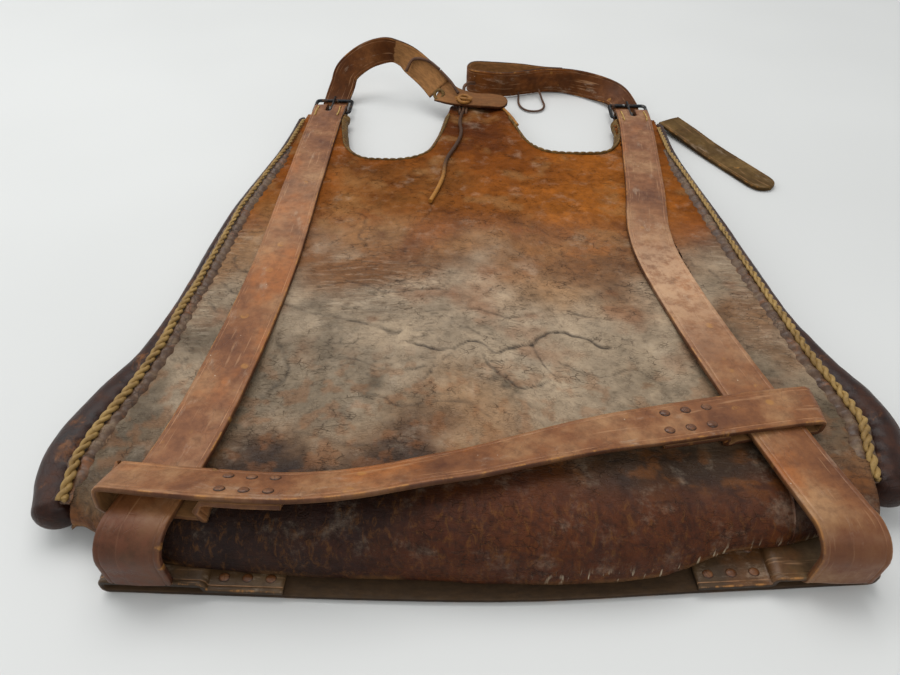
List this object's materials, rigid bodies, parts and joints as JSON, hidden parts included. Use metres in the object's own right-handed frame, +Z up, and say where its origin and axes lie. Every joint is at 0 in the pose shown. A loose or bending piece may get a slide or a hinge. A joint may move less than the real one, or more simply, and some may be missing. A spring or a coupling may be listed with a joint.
{
  "type": "leather carrying pad",
  "caption": "Stuffed leather back pad with laced side rolls, riveted main and cross straps, arm cut-outs and buckled shoulder straps.",
  "frame": {"origin": "on the flat of the back hide, on the pad's centre line, where the pad rests on a table", "axes": "+Z up from the table, +Y towards the thin end with the shoulder straps, +X to the right seen from the thick end"},
  "size_m": [0.6088, 0.7191, 0.0727],
  "materials": {
    "front_leather": "cracked, dusty, worn",
    "back_suede": "rough suede",
    "stuffing_felt": "matted hair and wool",
    "roll_leather": "dark, polished by wear",
    "roll_filling": "twisted straw rope",
    "lacing_thong": "ochre, twisted",
    "edging_leather": "olive brown, whip-laced",
    "harness_leather": "scored edge lines, scuffed",
    "shoulder_leather": "worn, flesh side olive",
    "stud_metal": "tarnished, leather coloured",
    "stitch_thread": "waxed linen",
    "buckle_steel": "blackened wire",
    "tie_leather": "dark thong"
  },
  "bodies": {
    "pad": {"front_hide": "front_leather", "back_hide": "back_suede", "stuffing": "stuffing_felt", "tongue_lashing": "tie_leather", "tie_thong": "tie_leather", "left_side_roll": "roll_leather", "left_roll_core": "roll_filling", "left_side_lacing": "lacing_thong", "left_lacing_welt": "edging_leather", "left_arm_edging": "edging_leather", "left_main_strap": "harness_leather", "left_main_rivets": "stud_metal", "left_corner_stitches": "stitch_thread", "right_side_roll": "roll_leather", "right_roll_core": "roll_filling", "right_side_lacing": "lacing_thong", "right_lacing_welt": "edging_leather", "right_arm_edging": "edging_leather", "right_main_strap": "harness_leather", "right_main_rivets": "stud_metal", "right_corner_stitches": "stitch_thread"},
    "front_cross": {"front_cross_strap": "harness_leather", "front_cross_rivets": "stud_metal"},
    "back_cross": {"back_cross_strap": "harness_leather", "back_cross_rivets": "stud_metal"},
    "left_shoulder": {"left_shoulder_strap": "shoulder_leather", "left_buckle_frame": "buckle_steel"},
    "left_prong": {"left_buckle_prong": "buckle_steel"},
    "right_shoulder": {"right_shoulder_strap": "shoulder_leather", "right_buckle_frame": "buckle_steel", "eye_thong": "tie_leather", "hanging_loop": "tie_leather"},
    "right_prong": {"right_buckle_prong": "buckle_steel"},
    "right_tail": {"right_strap_tail": "shoulder_leather"}
  },
  "joints": [
    {"name": "front_cross_slide", "type": "slide", "parent": "pad", "child": "front_cross", "axis": [0, 0.9983, -0.0576], "range_m": [-0.005, 0.006]},
    {"name": "back_cross_slide", "type": "slide", "parent": "pad", "child": "back_cross", "axis": [0, 1, 0], "range_m": [0, 0.008]},
    {"name": "left_shoulder_swing", "type": "hinge", "parent": "pad", "child": "left_shoulder", "pos_m": [-0.183, 0.303, 0.0092], "axis": [1, 0, 0], "range_deg": [0, 100]},
    {"name": "left_prong_turn", "type": "hinge", "parent": "left_shoulder", "child": "left_prong", "pos_m": [-0.183, 0.303, 0.0092], "axis": [1, 0, 0], "range_deg": [0, 35]},
    {"name": "right_shoulder_swing", "type": "hinge", "parent": "pad", "child": "right_shoulder", "pos_m": [0.183, 0.303, 0.0092], "axis": [1, 0, 0], "range_deg": [0, 100]},
    {"name": "right_prong_turn", "type": "hinge", "parent": "right_shoulder", "child": "right_prong", "pos_m": [0.183, 0.303, 0.0092], "axis": [1, 0, 0], "range_deg": [0, 35]},
    {"name": "right_tail_lift", "type": "hinge", "parent": "pad", "child": "right_tail", "pos_m": [0.229, 0.3, 0.0075], "axis": [-0.866, -0.5, 0], "range_deg": [0, 80]}
  ]
}
